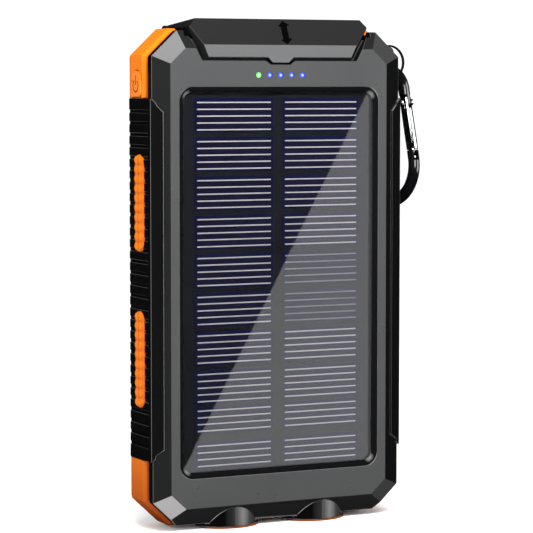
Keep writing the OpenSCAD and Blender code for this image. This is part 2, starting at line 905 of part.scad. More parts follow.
module port_cover() {
    skirt_z = deck_z + cover_gap;
    color("#4a4b4d")
    difference() {
        union() {
            intersection() {
                bar_along_x(-cover_half_w, cover_half_w)
                    union() {
                        cover_profile(0);
                        translate([cover_front_y + 0.25, cover_lip - tab_h]) square([2, tab_h + 0.1]);
                    }
                slab(-case_t, case_t) cover_front_shape();
                linear_extrude(cover_top + 1) cover_plan();
                difference() {
                    block([-case_w, case_w], [-case_t, case_t], [0, cover_top + 1]);
                    mirrored_x() cover_end_cut();
                }
            }
            hinge_bar(barrel_r, -cover_half_w, cover_half_w);
        }
        intersection() {
            bar_along_x(-cover_half_w + cover_wall, cover_half_w - cover_wall) cover_profile(cover_wall);
            block([-case_w, case_w], [-case_t, hinge_y - 3.6], [100, cover_top]);
        }
        block([-case_w, case_w], [ledge_y - cover_gap, hinge_y - barrel_r], [100, skirt_z]);
        difference() {
            block([-case_w, case_w], [ledge_y, hinge_y], [100, hinge_z - 0.2]);
            hinge_bar(barrel_r, -cover_half_w, cover_half_w);
            block([-case_w, case_w], [-case_t, hinge_y - barrel_r], [100, cover_top]);
        }
        hinge_bar(hinge_pin_r + 0.05, -case_w, case_w);
        for (sx = [-1, 1])
            block([sx * lug_x - lug_w / 2 - 0.2, sx * lug_x + lug_w / 2 + 0.2],
                [hinge_y - barrel_r - 0.6, case_t], [100, hinge_z + barrel_r + 0.3]);
    }
}

module cover_hinge_pin() {
    color("#a9acb0") hinge_bar(hinge_pin_r, -22.5, 22.5);
}

// ---- Lanyard, ring and carabiner ----

module lanyard_pin() {
    color("#a9acb0")
        round_y(lanyard_x, lanyard_z, lanyard_pin_r, lanyard_y - lug_t / 2, lanyard_y + lug_t / 2);
}

module split_ring() {
    color("#17181a")
    translate([ring_x, lanyard_y, ring_z])
        rotate([90, 0, 0])
            rotate_extrude()
                translate([ring_r, 0]) circle(ring_wire_r);
}

// The carabiner's own plane: X towards its gate, Y up, Z through its thickness,
// with the origin where it hangs in the ring
module carabiner_plane() {
    translate([ring_x, lanyard_y, hang_z])
        rotate([0, 0, yaw - 90])
            rotate([90, 0, 0]) children();
}

module bar_arc(r, centre, from, sweep) {
    translate([0, centre, 0])
        rotate([0, 0, from])
            rotate_extrude(angle = sweep)
                translate([r, 0]) circle(bar_r);
}

// Places its children at the upper end of the gate's line, with +Y down along it
module gate_line() {
    translate([upper_bend_r * cos(slant), upper_c + upper_bend_r * sin(slant), 0])
        rotate([0, 0, 180 + slant]) children();
}

module along_gate(r, y0, y1) {
    translate([0, y0, 0])
        rotate([-90, 0, 0])
            cylinder(r = r, h = y1 - y0);
}

module carabiner_body() {
    stub = hinge_drop - fork_len + 0.9;
    nose = straight_len - nose_rise;
    color("#0e0e10")
    carabiner_plane()
        difference() {
            union() {
                bar_arc(upper_bend_r, upper_c, slant, 180 - 2 * slant);
                bar_arc(lower_bend_r, lower_c, 180 - slant, 180 + 2 * slant);
                mirror([1, 0, 0]) gate_line() along_gate(bar_r, 0, straight_len);
                gate_line() along_gate(bar_r, 0, stub);
                gate_line() along_gate(bar_r, nose, straight_len);
                mirrored_x()
                    gate_line() {
                        along_gate(bar_r + sleeve, -sleeve_len, sleeve_len);
                        along_gate(bar_r + sleeve, straight_len - sleeve_len, straight_len + sleeve_len);
                    }
                gate_line()
                    intersection() {
                        translate([-bar_r, 0, -tongue_t / 2]) cube([2 * bar_r, hinge_drop, tongue_t]);
                        along_gate(bar_r, 0, hinge_drop + 2);
                    }
                gate_line() translate([0, hinge_drop, -tongue_t / 2]) cylinder(r = 1.35, h = tongue_t);
            }
            gate_line() translate([0, hinge_drop, -bar_r * 2]) cylinder(r = rivet_r, h = bar_r * 4);
            gate_line() {
                translate([-bar_r * 2, nose - 1, -latch_slot / 2]) cube([bar_r * 4, 3, latch_slot]);
                translate([-bar_r * 2, nose + 0.75, -latch_pocket / 2]) cube([bar_r * 4, 2.3, latch_pocket]);
            }
        }
}

module carabiner_gate() {
    top = hinge_drop - 1.2;
    slot_end = hinge_drop + 1.9;
    color("#d9dadb")
    carabiner_plane()
        gate_line()
            difference() {
                along_gate(bar_r, top, hinge_drop + gate_len);
                translate([-bar_r * 2, top - 1, -tongue_t / 2 - 0.1])
                    cube([bar_r * 4, slot_end - top + 1, tongue_t + 0.2]);
                translate([0, hinge_drop, -bar_r * 2]) cylinder(r = rivet_r + 0.05, h = bar_r * 4);
                along_gate(0.95, hinge_drop + 4, hinge_drop + gate_len - 3);
            }
}

module gate_spring() {
    y0 = hinge_drop + 4.4;
    turns = 8;
    pitch = 0.75;
    color("#9a9da2")
    carabiner_plane()
        gate_line()
            difference() {
                along_gate(0.8, y0, y0 + turns * pitch);
                along_gate(0.45, y0 - 1, y0 + turns * pitch + 1);
            }
}

module gate_latch() {
    start = hinge_drop + gate_len;
    tip = straight_len - nose_rise + 1.9;
    color("#cfd1d3")
    carabiner_plane()
        gate_line() {
            along_gate(latch_r, start, tip);
            translate([0, tip, 0]) sphere(latch_ball_r);
        }
}

module gate_rivet() {
    half = rivet_len / 2;
    head_r = 0.95;
    color("#cfd1d3")
    carabiner_plane()
        gate_line()
            translate([0, hinge_drop, 0]) {
                translate([0, 0, -half + 0.5]) cylinder(r = rivet_r, h = rivet_len - 1);
                translate([0, 0, half - 0.75]) cylinder(r = head_r, h = 0.6);
                translate([0, 0, -half + 0.15]) cylinder(r = head_r, h = 0.6);
            }
}

front_bezel();
rear_shell();
bumper_frame();
side_grip_left();
side_grip_right();
grip_pad_left_upper();
grip_pad_left_lower();
grip_pad_right_upper();
grip_pad_right_lower();
window_gasket();
solar_cover_sheet();
solar_cells();
cell_contact_strips();
solar_backing_board();
light_pipe_green();
light_pipes_blue();
status_led_chips();
power_button();
switch_plunger();
switch_body();
main_board();
usb_port_left();
usb_port_right();
usb_tongue_left();
usb_tongue_right();
charging_port();
charging_tongue();
power_chip();
inductor();
capacitors();
battery_front();
battery_rear();
battery_pad();
battery_tape();
battery_lead_red();
battery_lead_black();
panel_lead_red();
panel_lead_black();
torch_lenses();
torch_reflectors();
torch_leds();
case_screws();
port_cover();
cover_hinge_pin();
lanyard_pin();
split_ring();
carabiner_body();
carabiner_gate();
gate_latch();
gate_rivet();
gate_spring();
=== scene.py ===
"""Solar phone charger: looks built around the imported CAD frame."""

import math

import bmesh
import bpy
from mathutils import Matrix, Vector


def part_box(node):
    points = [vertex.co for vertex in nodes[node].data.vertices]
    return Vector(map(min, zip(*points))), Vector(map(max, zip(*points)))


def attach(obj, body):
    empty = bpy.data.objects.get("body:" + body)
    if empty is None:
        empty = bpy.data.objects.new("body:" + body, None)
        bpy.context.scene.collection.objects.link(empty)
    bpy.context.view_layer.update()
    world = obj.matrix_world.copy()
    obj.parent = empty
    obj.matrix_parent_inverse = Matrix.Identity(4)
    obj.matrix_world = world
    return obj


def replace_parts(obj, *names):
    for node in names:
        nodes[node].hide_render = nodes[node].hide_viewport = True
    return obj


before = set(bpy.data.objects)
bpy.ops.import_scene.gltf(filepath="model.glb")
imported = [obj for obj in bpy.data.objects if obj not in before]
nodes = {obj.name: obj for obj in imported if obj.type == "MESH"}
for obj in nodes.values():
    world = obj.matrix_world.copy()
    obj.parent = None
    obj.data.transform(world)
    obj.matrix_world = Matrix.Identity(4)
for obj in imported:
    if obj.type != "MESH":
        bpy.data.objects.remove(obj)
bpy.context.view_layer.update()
scene = bpy.context.scene
MM = 0.001

# Texture scales, per metre, and relief of the moulded and metal surfaces
MOTTLE_SCALE = 55.0
SMEAR_SCALE = 260.0
CLOUD_SCALE = 180.0
DUST_SCALE = 420.0
SCRATCH_SCALE = 900.0
GLOSS_SPREAD = 0.07
GRAIN_DEPTH = 0.04 * MM
SCRATCH_DEPTH = 0.02 * MM

# What counts as one point, as a short edge, as a narrow face and as a sharp edge when edges are rounded
WELD_GAP = 0.002 * MM
SHORTEST_EDGE = 0.45 * MM
NARROW_FACE = 0.3 * MM
FACET_ANGLE = math.radians(13)
CORNER_ANGLE = math.radians(32)


# ---- Shader helpers ----

def new_material(name):
    material = bpy.data.materials.new(name)
    material.use_nodes = True
    tree = material.node_tree
    tree.nodes.clear()
    output = tree.nodes.new("ShaderNodeOutputMaterial")
    return material, tree, output


def add(tree, kind, inputs=None, **settings):
    """Adds a shader node; inputs are values or output sockets by input name."""
    made = tree.nodes.new(kind)
    for key, value in settings.items():
        setattr(made, key, value)
    for key, value in (inputs or {}).items():
        if isinstance(value, bpy.types.NodeSocket):
            tree.links.new(value, made.inputs[key])
        else:
            made.inputs[key].default_value = value
    return made


def rgba(colour):
    return (colour[0], colour[1], colour[2], 1.0)


def scaled(colour, factor):
    return tuple(min(1.0, channel * factor) for channel in colour)


def mix_colour(tree, factor, first, second):
    made = tree.nodes.new("ShaderNodeMix")
    made.data_type = "RGBA"
    for socket, value in ((made.inputs[0], factor), (made.inputs[6], first), (made.inputs[7], second)):
        if isinstance(value, bpy.types.NodeSocket):
            tree.links.new(value, socket)
        else:
            socket.default_value = value
    return made.outputs[2]


def object_coordinates(tree):
    return tree.nodes.new("ShaderNodeTexCoord").outputs["Object"]


def noise(tree, vector, scale, detail=3.0, rough=0.55):
    made = add(tree, "ShaderNodeTexNoise",
               {"Vector": vector, "Scale": scale, "Detail": detail, "Roughness": rough})
    return made.outputs["Fac"]


def mapped(tree, value, low, high, start=0.0, end=1.0):
    made = add(tree, "ShaderNodeMapRange",
               {"Value": value, "From Min": start, "From Max": end, "To Min": low, "To Max": high})
    return made.outputs["Result"]


def moulded(name, colour, rough, grain=2600.0, bump=0.25, variation=0.10, specular=0.5, coat=0.0, tone=None):
    """Moulded plastic or rubber: spark grain, faint mottling and uneven gloss; tone paints light and shade
    into it by direction and place.
    """
    material, tree, output = new_material(name)
    where = object_coordinates(tree)
    mottle = noise(tree, where, MOTTLE_SCALE)
    fine = noise(tree, where, grain, 2.0, 0.6)
    smear = noise(tree, where, SMEAR_SCALE, 4.0, 0.6)
    base = mix_colour(tree, mottle, rgba(scaled(colour, 1 - variation)), rgba(scaled(colour, 1 + variation)))
    if tone is not None:
        base = tone(tree, base)
    roughness = mapped(tree, smear, rough - GLOSS_SPREAD, rough + GLOSS_SPREAD)
    bumped = add(tree, "ShaderNodeBump", {"Height": fine, "Strength": bump, "Distance": GRAIN_DEPTH})
    shader = add(tree, "ShaderNodeBsdfPrincipled",
                 {"Base Color": base, "Roughness": roughness, "Normal": bumped.outputs["Normal"],
                  "Specular IOR Level": specular, "Coat Weight": coat, "Coat Roughness": 0.15})
    tree.links.new(shader.outputs[0], output.inputs[0])
    return material


def metal(name, colour, rough, stretch=(1.0, 1.0, 0.08), bump=0.12, metallic=1.0):
    """Machined or plated metal with fine directional scratches and cloudy roughness."""
    material, tree, output = new_material(name)
    where = object_coordinates(tree)
    stretched = add(tree, "ShaderNodeMapping", {"Vector": where, "Scale": stretch})
    lines = noise(tree, stretched.outputs["Vector"], SCRATCH_SCALE, 4.0, 0.7)
    cloud = noise(tree, where, CLOUD_SCALE)
    base = mix_colour(tree, cloud, rgba(scaled(colour, 0.9)), rgba(scaled(colour, 1.06)))
    roughness = mapped(tree, lines, rough * 0.75, rough * 1.3)
    bumped = add(tree, "ShaderNodeBump", {"Height": lines, "Strength": bump, "Distance": SCRATCH_DEPTH})
    shader = add(tree, "ShaderNodeBsdfPrincipled",
                 {"Base Color": base, "Roughness": roughness, "Metallic": metallic,
                  "Normal": bumped.outputs["Normal"]})
    tree.links.new(shader.outputs[0], output.inputs[0])
    return material


def clear_sheet(name, tint, ior, rough):
    """A clear laminate: mostly see-through, with a mirror-like face."""
    material, tree, output = new_material(name)
    where = object_coordinates(tree)
    dust = noise(tree, where, DUST_SCALE, 4.0, 0.6)
    through = add(tree, "ShaderNodeBsdfTransparent",
                  {"Color": mix_colour(tree, dust, rgba(scaled(tint, 0.97)), rgba(tint))})
    face = add(tree, "ShaderNodeBsdfGlossy",
               {"Color": rgba((1, 1, 1)), "Roughness": mapped(tree, dust, rough * 0.6, rough * 1.4)})
    amount = add(tree, "ShaderNodeFresnel", {"IOR": ior})
    blended = add(tree, "ShaderNodeMixShader",
                  {0: amount.outputs[0], 1: through.outputs[0], 2: face.outputs[0]})
    tree.links.new(blended.outputs[0], output.inputs[0])
    return material


# ---- Painted light and shade, by surface direction and place ----

FRONT_GREY = (0.050, 0.0506, 0.0515)
# Painted shade: sloped facets are painted darker, and the right side darkest
FACET_GREY = (0.0095, 0.0096, 0.0098)
RIGHT_GREY = scaled(FACET_GREY, 0.35)
# Painted sheen on the corner facets
CORNER_GREY = (0.028, 0.0282, 0.0285)
# Painted highlights on the two left corner facets, the upper and the lower
TOP_LIT_GREY = (0.11, 0.11, 0.11)
LOW_LIT_GREY = (0.25, 0.245, 0.245)
# Painted highlight on the front shell's small radii
EDGE_GREY = (0.26, 0.26, 0.262)
# Painted highlight on the grip's edges
GRIP_EDGE_HIGHLIGHT_GREY = (0.11, 0.11, 0.112)
# Painted highlight on the gasket rim's corners
RIM_HIGHLIGHT_GREY = (0.13, 0.13, 0.128)
COVER_GREY = (0.088, 0.0885, 0.09)
# Painted shade on the cover's leaning face and on its ends
COVER_UPPER_GREY = (0.012, 0.012, 0.0122)
COVER_END_GREY = (0.008, 0.008, 0.0085)
# Painted shade: the front shell's side walls are painted black
WALL_BLACK = (0.0035, 0.0035, 0.0037)
SHELL_BLACK = (0.017, 0.017, 0.018)
GRIP_BLACK = (0.003, 0.003, 0.0032)
ORANGE = (0.60, 0.135, 0.003)
# Painted shade on the bumper's lower end, near the ground
GROUND_SHADE_ORANGE = (0.26, 0.042, 0.0002)
PAD_ORANGE = (0.60, 0.130, 0.0012)
# Painted shade in the valleys between the pad's knobs
VALLEY_SHADE_ORANGE = (0.50, 0.095, 0.0010)
BUTTON_ORANGE = (0.66, 0.165, 0.010)

# Where a tone starts and where it is complete. First by the surface direction: x is to the right, y to
# the back and z up, each from -1 to 1.
FACE_TILT = (-0.985, -0.955)
CORNER_TURN = (0.12, 0.18)
LEFT_TURN = (-0.12, -0.18)
RIGHT_TURN = (0.2, 0.3)
LIT_TILT = (-0.86, -0.9)
UPWARD = (-0.1, 0.1)
LEVEL = (0.15, 0.1)
WALL_TILT = (-0.6, -0.3)
EDGE_SHARE = (0.84, 0.80)
HIGHLIGHT_TILT = (0.3, 0.45)
BULGE_UPRIGHT = (0.2, 0.1)
BULGE_TILT = (-0.9995, -0.999)
RIM_TURN = (0.12, 0.4)
COVER_LEAN = (0.08, 0.2)
COVER_END = (0.15, 0.4)

# Then by the place on the part
RECESS_SIDE = (31.2 * MM, 30.8 * MM)
RECESS_FLOOR = (128.5 * MM, 129 * MM)
BULGE_TOP = (8.4 * MM, 8.1 * MM)
BULGE_SPAN = (26.2 * MM, 25.8 * MM)
LOW_END = (28 * MM, 4 * MM)

# Painted shade and highlight of the bulges against their turn, from facing left at 0 to facing right at 1
BULGE_SHADES = ((0.0, 0.002), (0.34, 0.002), (0.48, 0.02), (0.60, 0.14), (0.72, 0.035), (1.0, 0.006))


def steps(tree, value, start, end):
    """Rises from 0 to 1 as the value goes from start to end."""
    return mapped(tree, value, 0.0, 1.0, start, end)


def both(tree, first, second):
    """Two masks combined: 1 only where both of them are."""
    return add(tree, "ShaderNodeMath", {0: first, 1: second}, operation="MULTIPLY").outputs[0]


def size_of(tree, value):
    return add(tree, "ShaderNodeMath", {0: value}, operation="ABSOLUTE").outputs[0]


def split(tree, vector):
    parts = add(tree, "ShaderNodeSeparateXYZ", {"Vector": vector})
    return parts.outputs["X"], parts.outputs["Y"], parts.outputs["Z"]


def facing(tree):
    """The surface direction in the part's own frame, split into x, y and z."""
    return split(tree, tree.nodes.new("ShaderNodeTexCoord").outputs["Normal"])


def edge_mask(tree, x, y, z):
    """1 on the small radii, where the surface faces along none of the three axes."""
    larger = add(tree, "ShaderNodeMath", {0: size_of(tree, x), 1: size_of(tree, y)}, operation="MAXIMUM")
    largest = add(tree, "ShaderNodeMath", {0: larger.outputs[0], 1: size_of(tree, z)}, operation="MAXIMUM")
    return steps(tree, largest.outputs[0], *EDGE_SHARE)


def facet_tones(tree, base, facing_xyz):
    """Painted light and shade: sloped facets are painted darker, the four corner facets get a painted sheen
    and the two left ones a painted highlight, the right side is painted darkest and the side walls black.
    """
    x, y, z = facing_xyz
    # Painted shade on the sloped facets
    colour = mix_colour(tree, steps(tree, y, *FACE_TILT), base, rgba(FACET_GREY))
    # Painted sheen on the four corner facets
    corner = both(tree, steps(tree, size_of(tree, x), *CORNER_TURN),
                  steps(tree, size_of(tree, z), *CORNER_TURN))
    colour = mix_colour(tree, corner, colour, rgba(CORNER_GREY))
    # Painted highlights on the two left corner facets
    lit = both(tree, both(tree, corner, steps(tree, x, *LEFT_TURN)), steps(tree, y, *LIT_TILT))
    lit_colour = mix_colour(tree, steps(tree, z, *UPWARD), rgba(LOW_LIT_GREY), rgba(TOP_LIT_GREY))
    colour = mix_colour(tree, lit, colour, lit_colour)
    # Painted shade on the right side
    right = both(tree, steps(tree, x, *RIGHT_TURN), steps(tree, size_of(tree, z), *LEVEL))
    colour = mix_colour(tree, right, colour, rgba(RIGHT_GREY))
    # Painted black on the side walls, which stand in shade
    return mix_colour(tree, steps(tree, y, *WALL_TILT), colour, rgba(WALL_BLACK))


def paint_edge_highlights(tree, base, facing_xyz, place_x, place_z):
    """Painted highlights: the small radii are painted paler, except in the recess round the port cover."""
    x, y, z = facing_xyz
    highlight_mask = both(tree, edge_mask(tree, x, y, z), steps(tree, size_of(tree, y), *HIGHLIGHT_TILT))
    recess = both(tree, steps(tree, size_of(tree, place_x), *RECESS_SIDE),
                  steps(tree, place_z, *RECESS_FLOOR))
    shown = add(tree, "ShaderNodeMath", {0: highlight_mask, 1: recess}, operation="SUBTRACT", use_clamp=True)
    return mix_colour(tree, shown.outputs[0], base, rgba(EDGE_GREY))


def paint_bulge_light_and_shade(tree, base, facing_xyz, place_x, place_z):
    """Painted shade and highlight: the round bulges at the foot are painted from black to a bright upright
    streak and back, by their turn.
    """
    x, y, z = facing_xyz
    ramp = tree.nodes.new("ShaderNodeValToRGB")
    stops = ramp.color_ramp.elements
    for index, (position, shade) in enumerate(BULGE_SHADES):
        stop = stops[index] if index < 2 else stops.new(position)
        stop.position = position
        stop.color = rgba((shade, shade, shade))
    tree.links.new(mapped(tree, x, 0.0, 1.0, -1.0, 1.0), ramp.inputs[0])
    low = both(tree, steps(tree, place_z, *BULGE_TOP), steps(tree, size_of(tree, z), *BULGE_UPRIGHT))
    middle = both(tree, steps(tree, size_of(tree, place_x), *BULGE_SPAN), steps(tree, y, *BULGE_TILT))
    return mix_colour(tree, both(tree, low, middle), base, ramp.outputs["Color"])


def front_tone(tree, base):
    """Painted light and shade on the front shell: painted shade on facets and walls, painted highlights on
    the edges, then painted shade and highlight on the bulges.
    """
    facing_xyz = facing(tree)
    place_x, _, place_z = split(tree, object_coordinates(tree))
    colour = facet_tones(tree, base, facing_xyz)
    # Painted highlights on the small radii
    colour = paint_edge_highlights(tree, colour, facing_xyz, place_x, place_z)
    # Painted shade and highlight on the bulges
    return paint_bulge_light_and_shade(tree, colour, facing_xyz, place_x, place_z)


def bumper_tone(tree, base):
    """Painted shade: the bumper's lower end, next to the ground, is painted a deeper orange."""
    _, _, place_z = split(tree, object_coordinates(tree))
    return mix_colour(tree, steps(tree, place_z, *LOW_END), base, rgba(GROUND_SHADE_ORANGE))


def pad_tone(tree, base):
    """Painted shade: the valleys between the knobs are painted a deeper orange than their crowns."""
    crown = add(tree, "ShaderNodeAttribute", attribute_name="crown").outputs["Fac"]
    return mix_colour(tree, steps(tree, crown, 0.0, 0.75), rgba(VALLEY_SHADE_ORANGE), base)


def gasket_tone(tree, base):
    """Painted highlight: the rim is painted paler where it turns the window's corners."""
    x, _, z = facing(tree)
    turn = both(tree, steps(tree, size_of(tree, x), *RIM_TURN), steps(tree, size_of(tree, z), *RIM_TURN))
    return mix_colour(tree, turn, base, rgba(RIM_HIGHLIGHT_GREY))


def rubber_tone(tree, base):
    """Painted highlight: the grip's edges are painted paler than its faces."""
    x, y, z = facing(tree)
    return mix_colour(tree, edge_mask(tree, x, y, z), base, rgba(GRIP_EDGE_HIGHLIGHT_GREY))


def cover_tone(tree, base):
    """Painted shade: the lower strip of the cover keeps its grey; its leaning face and its ends are painted
    darker.
    """
    x, _, z = facing(tree)
    upper = mix_colour(tree, steps(tree, z, *COVER_LEAN), base, rgba(COVER_UPPER_GREY))
    return mix_colour(tree, steps(tree, size_of(tree, x), *COVER_END), upper, rgba(COVER_END_GREY))


# ---- Mesh helpers ----

SAME_POINT = 1e-7


def add_object(name, mesh, material, body):
    piece = bpy.data.objects.new(name, mesh)
    scene.collection.objects.link(piece)
    mesh.materials.append(material)
    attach(piece, body)
    return piece


def mesh_from(name, points, faces, smooth=True):
    mesh = bpy.data.meshes.new(name)
    mesh.from_pydata([tuple(p) for p in points], [], faces)
    mesh.validate()
    work = bmesh.new()
    work.from_mesh(mesh)
    bmesh.ops.remove_doubles(work, verts=work.verts, dist=SAME_POINT)
    bmesh.ops.recalc_face_normals(work, faces=work.faces)
    work.to_mesh(mesh)
    work.free()
    for face in mesh.polygons:
        face.use_smooth = smooth
    return mesh


def edge_finder():
    """Geometry nodes that weld a CAD mesh, drop its stored normals and mark the edges to round."""
    tree = bpy.data.node_groups.new("edge_finder", "GeometryNodeTree")
    tree.interface.new_socket("Geometry", in_out="INPUT", socket_type="NodeSocketGeometry")
    tree.interface.new_socket("Geometry", in_out="OUTPUT", socket_type="NodeSocketGeometry")
    start = tree.nodes.new("NodeGroupInput")
    end = tree.nodes.new("NodeGroupOutput")
    weld = add(tree, "GeometryNodeMergeByDistance", {"Geometry": start.outputs[0], "Distance": WELD_GAP})
    bare = add(tree, "GeometryNodeRemoveAttribute", {"Geometry": weld.outputs[0], "Name": "custom_normal"})
    soft = add(tree, "GeometryNodeSetShadeSmooth", {"Geometry": bare.outputs[0]}, domain="EDGE")
    smooth = add(tree, "GeometryNodeSetShadeSmooth", {"Geometry": soft.outputs[0]}, domain="FACE")

    def compared(kind, first, second, **settings):
        return add(tree, "ShaderNodeMath", {0: first, 1: second}, operation=kind, **settings).outputs[0]

    angle = add(tree, "GeometryNodeInputMeshEdgeAngle").outputs["Unsigned Angle"]
    ends = add(tree, "GeometryNodeInputMeshEdgeVertices")
    span = add(tree, "ShaderNodeVectorMath", {0: ends.outputs["Position 1"], 1: ends.outputs["Position 2"]},
               operation="DISTANCE")
    length = span.outputs["Value"]
    area = add(tree, "GeometryNodeInputMeshFaceArea").outputs[0]
    wide = compared("GREATER_THAN", compared("DIVIDE", area, length), NARROW_FACE)
    long = compared("GREATER_THAN", length, SHORTEST_EDGE)
    facet = compared("GREATER_THAN", angle, FACET_ANGLE)
    corner = compared("GREATER_THAN", angle, CORNER_ANGLE)
    sharp = compared("MAXIMUM", compared("MULTIPLY", wide, facet), corner)
    rounded = compared("MULTIPLY", sharp, long)
    short = compared("SUBTRACT", corner, rounded, use_clamp=True)
    crisp = add(tree, "GeometryNodeSetShadeSmooth",
                {"Geometry": smooth.outputs[0], "Selection": short, "Shade Smooth": False}, domain="EDGE")
    store = add(tree, "GeometryNodeStoreNamedAttribute",
                {"Geometry": crisp.outputs[0], "Name": "bevel_weight_edge", "Value": rounded},
                data_type="FLOAT", domain="EDGE")
    tree.links.new(store.outputs[0], end.inputs[0])
    return tree


def round_edges(piece, width, segments=2):
    """Small moulded radii on a CAD piece's sharp edges, as modifiers only."""
    finder = piece.modifiers.new("edges", "NODES")
    finder.node_group = edge_finder()
    bevel = piece.modifiers.new("radii", "BEVEL")
    bevel.width = width
    bevel.segments = segments
    bevel.limit_method = "WEIGHT"
    bevel.use_clamp_overlap = False
    shade = piece.modifiers.new("normals", "WEIGHTED_NORMAL")
    shade.keep_sharp = True


def weld_seams(piece):
    """Joins the vertices along a CAD piece's seams, so that round surfaces shade without breaks."""
    weld = piece.modifiers.new("weld", "WELD")
    weld.merge_threshold = WELD_GAP


def dress(name, material):
    piece = nodes[name]
    piece.data.materials.clear()
    piece.data.materials.append(material)
    return piece


def islands(name):
    """Boxes of the separate solids in one CAD node, as (low, high) corners."""
    mesh = nodes[name].data
    work = bmesh.new()
    work.from_mesh(mesh)
    bmesh.ops.remove_doubles(work, verts=work.verts, dist=SAME_POINT)
    seen, boxes = set(), []
    for start in work.verts:
        if start.index in seen:
            continue
        queue, members = [start], []
        seen.add(start.index)
        while queue:
            vert = queue.pop()
            members.append(vert.co.copy())
            for edge in vert.link_edges:
                other = edge.other_vert(vert)
                if other.index not in seen:
                    seen.add(other.index)
                    queue.append(other)
        low = Vector([min(p[i] for p in members) for i in range(3)])
        high = Vector([max(p[i] for p in members) for i in range(3)])
        boxes.append((low, high))
    work.free()
    return boxes


def rounded_loop(low_x, high_x, low_z, high_z, radius, pieces=10):
    """Points of a rounded rectangle in X-Z, with each point's outward direction."""
    corners = [(high_x - radius, high_z - radius, 0), (low_x + radius, high_z - radius, 90),
               (low_x + radius, low_z + radius, 180), (high_x - radius, low_z + radius, 270)]
    loop = []
    for cx, cz, start in corners:
        for i in range(pieces + 1):
            angle = math.radians(start + 90.0 * i / pieces)
            out = Vector((math.cos(angle), 0, math.sin(angle)))
            loop.append((Vector((cx, 0, cz)) + out * radius, out))
    return loop


def sweep_profile(name, loop, profile):
    """Sweeps (outward, y) profile points round a closed loop."""
    points, faces = [], []
    count = len(profile)
    for base, out in loop:
        for offset, y in profile:
            point = base + out * offset
            points.append((point.x, y, point.z))
    total = len(loop)
    for i in range(total):
        for j in range(count):
            a, b = i * count + j, i * count + (j + 1) % count
            c, d = ((i + 1) % total) * count + (j + 1) % count, ((i + 1) % total) * count + j
            faces.append((a, b, c, d))
    return mesh_from(name, points, faces)


def tube(name, path, radius, sides):
    """A round tube along a list of points, closed by flat ends."""
    points, faces = [], []
    total = len(path)
    normal = Vector((0, 0, 1))
    for i, at in enumerate(path):
        before = path[max(i - 1, 0)]
        after = path[min(i + 1, total - 1)]
        along = (after - before).normalized()
        if abs(along.dot(normal)) > 0.98:
            normal = Vector((0, 1, 0))
        side = along.cross(normal).normalized()
        normal = side.cross(along).normalized()
        for k in range(sides):
            angle = 2 * math.pi * k / sides
            points.append(at + side * math.cos(angle) * radius + normal * math.sin(angle) * radius)
    for i in range(total - 1):
        for k in range(sides):
            a, b = i * sides + k, i * sides + (k + 1) % sides
            faces.append((a, b, b + sides, a + sides))
    faces.append(tuple(range(sides - 1, -1, -1)))
    faces.append(tuple((total - 1) * sides + k for k in range(sides)))
    return mesh_from(name, points, faces)


# ---- Shells ----

def dress_shells():
    front = dress("front_bezel", moulded("front_plastic", FRONT_GREY, 0.3, specular=0.45, tone=front_tone))
    round_edges(front, 0.2 * MM)
    rear = dress("rear_shell", moulded("rear_plastic", SHELL_BLACK, 0.5, grain=1800.0, bump=0.5))
    round_edges(rear, 0.18 * MM)
    orange = moulded("bumper_orange", ORANGE, 0.4, bump=0.12, variation=0.05, specular=0.15, tone=bumper_tone)
    bumper = dress("bumper_frame", orange)
    round_edges(bumper, 0.2 * MM)
    bumper.visible_glossy = False
    grip = moulded("grip_rubber", GRIP_BLACK, 0.42, grain=2200.0, bump=0.3, specular=0.25, tone=rubber_tone)
    for side in ("left", "right"):
        round_edges(dress("side_grip_" + side, grip), 0.15 * MM)


# ---- Solar window ----

def gasket_rim():
    """The glossy rim that rolls from the front face down to the glass."""
    low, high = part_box("window_gasket")
    glass_low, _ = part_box("solar_cover_sheet")
    front_y = low.y
    glass_y = glass_low.y
    corner_radius = 3.95 * MM
    width = 1.55 * MM
    skirt = 0.7 * MM
    depth = glass_y - front_y
    profile = [(0.0, high.y), (0.0, front_y + 0.15 * MM)]
    rounding = 10
    for i in range(rounding + 1):
        share = i / rounding
        profile.append((-width * share, front_y + depth * (share ** 2.2) * 0.96))
    profile += [(-width, glass_y - 0.01 * MM), (-skirt, glass_y - 0.005 * MM), (-skirt, high.y)]
    loop = rounded_loop(low.x, high.x, low.z, high.z, corner_radius)
    material = moulded("gasket_gloss", (0.004, 0.004, 0.0045), 0.12, grain=800.0, bump=0.03, specular=0.6,
                       tone=gasket_tone)
    rim = add_object("window_rim", sweep_profile("window_rim", loop, profile), material, "case")
    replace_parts(rim, "window_gasket")


def cell_material():
    """Polycrystalline silicon: blue edges, purple bands between the fingers, grain boundaries."""
    material, tree, output = new_material("silicon_cell")
    where = object_coordinates(tree)
    crystal = add(tree, "ShaderNodeTexVoronoi", {"Vector": where, "Scale": 420.0, "Randomness": 1.0})
    edge = add(tree, "ShaderNodeAttribute", attribute_name="edge")
    band = add(tree, "ShaderNodeAttribute", attribute_name="band")
    navy = mix_colour(tree, crystal.outputs["Distance"],
                      rgba((0.0035, 0.0045, 0.042)), rgba((0.005, 0.007, 0.065)))
    purple = mix_colour(tree, crystal.outputs["Color"],
                        rgba((0.0085, 0.0055, 0.020)), rgba((0.013, 0.007, 0.030)))
    body = mix_colour(tree, band.outputs["Fac"], navy, purple)
    base = mix_colour(tree, edge.outputs["Fac"], body, rgba((0.004, 0.006, 0.060)))
    shader = add(tree, "ShaderNodeBsdfPrincipled",
                 {"Base Color": base, "Roughness": mapped(tree, noise(tree, where, 900.0), 0.3, 0.45),
                  "Specular IOR Level": 1.0, "Specular Tint": rgba((0.44, 0.50, 1.0))})
    tree.links.new(shader.outputs[0], output.inputs[0])
    return material


